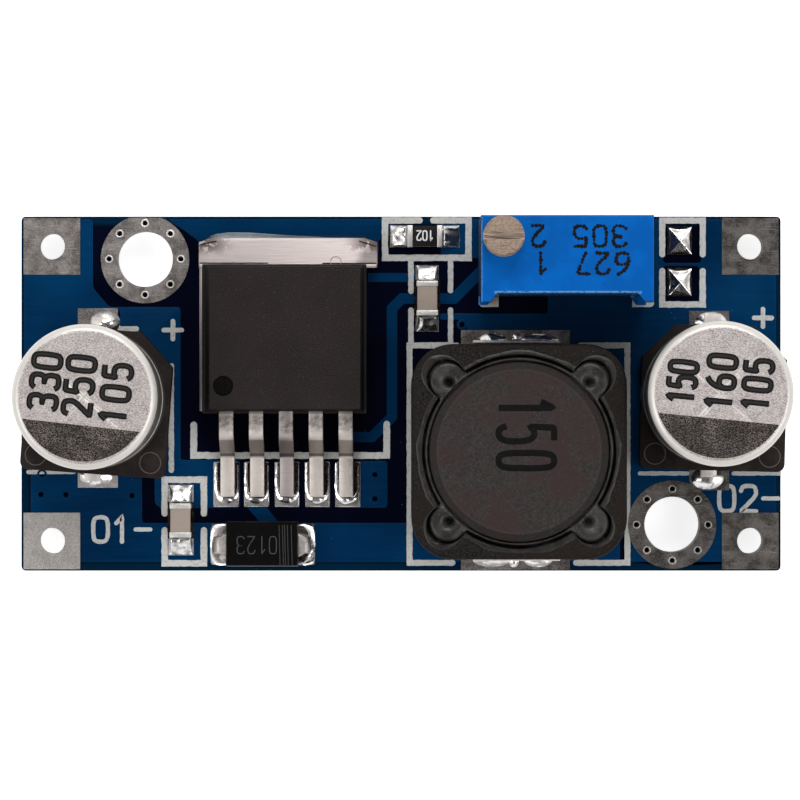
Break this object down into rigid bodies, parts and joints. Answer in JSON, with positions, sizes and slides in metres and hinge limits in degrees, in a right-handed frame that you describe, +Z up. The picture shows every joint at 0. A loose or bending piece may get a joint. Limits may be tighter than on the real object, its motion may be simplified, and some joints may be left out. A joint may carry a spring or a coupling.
{
  "type": "buck converter module",
  "caption": "Flat rectangular circuit board carrying a tabbed regulator, a square shielded inductor, round can capacitors, a diode and a blue screw trimmer.",
  "frame": {"origin": "under the middle of the board, level with the tips of the trimmer's pins, which are the lowest points", "axes": "+X along the board's long side from the input end to the output end, +Y across the board towards the trimmer, +Z up, out of the populated face"},
  "size_m": [0.0438, 0.0204, 0.0139],
  "materials": {
    "solder_mask": "glossy blue solder mask over glass laminate",
    "tinned_copper": "tinned copper, satin",
    "solder": "reflowed solder, bright",
    "moulding_compound": "fine matt epoxy moulding",
    "tinned_lead": "tin plated copper, satin",
    "silicon": "polished silicon",
    "ceramic_white": "white alumina",
    "ceramic_tan": "fired tan ceramic",
    "resistor_film": "black glaze",
    "aluminium_can": "drawn aluminium, satin",
    "black_base": "moulded black plastic",
    "rubber": "black rubber",
    "foil_roll": "foil and paper roll",
    "ferrite": "ground ferrite",
    "copper_wire": "enamelled copper wire",
    "glue": "black epoxy",
    "trimmer_blue": "moulded blue plastic",
    "sealing_resin": "dark blue sealing resin",
    "brass": "turned brass, dull",
    "wheel_plastic": "natural nylon"
  },
  "bodies": {
    "module": {"circuit_board": "solder_mask", "wire_pads": "tinned_copper", "mounting_hole_plating": "tinned_copper", "signal_vias": "tinned_copper", "trimmer_hole_plating": "tinned_copper", "power_part_pads": "tinned_copper", "regulator_pads": "tinned_copper", "small_part_pads": "tinned_copper", "regulator_body": "moulding_compound", "regulator_heat_tab": "tinned_lead", "regulator_input_lead": "tinned_lead", "regulator_output_lead": "tinned_lead", "regulator_feedback_lead": "tinned_lead", "regulator_enable_lead": "tinned_lead", "regulator_die": "silicon", "diode_body": "moulding_compound", "diode_cathode_lead": "tinned_lead", "diode_anode_lead": "tinned_lead", "diode_die": "silicon", "resistor_ceramic": "ceramic_white", "resistor_film": "resistor_film", "resistor_end_caps": "tinned_lead", "upper_chip_capacitor_body": "ceramic_tan", "upper_chip_capacitor_end_caps": "tinned_lead", "lower_chip_capacitor_body": "ceramic_tan", "lower_chip_capacitor_end_caps": "tinned_lead", "inductor_shield_ring": "ferrite", "inductor_drum_core": "ferrite", "inductor_winding": "copper_wire", "inductor_glue": "glue", "inductor_output_terminal": "tinned_lead", "inductor_switch_terminal": "tinned_lead", "trimmer_housing": "trimmer_blue", "trimmer_sealing_cover": "sealing_resin", "trimmer_seal_ring": "rubber", "trimmer_resistor_plate": "ceramic_white", "trimmer_pin_1": "tinned_lead", "trimmer_pin_2": "tinned_lead", "trimmer_pin_3": "tinned_lead", "regulator_solder": "solder", "small_part_solder": "solder", "power_part_solder": "solder", "trimmer_solder": "solder", "input_capacitor_can": "aluminium_can", "input_capacitor_base": "black_base", "input_capacitor_bung": "rubber", "input_capacitor_roll": "foil_roll", "input_capacitor_positive_lead": "tinned_lead", "input_capacitor_negative_lead": "tinned_lead", "output_capacitor_can": "aluminium_can", "output_capacitor_base": "black_base", "output_capacitor_bung": "rubber", "output_capacitor_roll": "foil_roll", "output_capacitor_positive_lead": "tinned_lead", "output_capacitor_negative_lead": "tinned_lead"},
    "screw": {"trimmer_screw": "brass"},
    "wheel": {"trimmer_worm_wheel": "wheel_plastic", "trimmer_wiper": "brass"}
  },
  "joints": [
    {"name": "screw_turn", "type": "hinge", "parent": "module", "child": "screw", "pos_m": [0.00568, 0.00871, 0.0125], "axis": [0, 0, 1], "range_deg": [-4500, 4500]},
    {"name": "wheel_turn", "type": "hinge", "parent": "module", "child": "wheel", "pos_m": [0.00924, 0.00871, 0.0073], "axis": [0, 1, 0], "range_deg": [-150, 150]}
  ],
  "couplings": [
    {"joint": "wheel_turn", "follows": "screw_turn", "ratio": -0.033333}
  ]
}
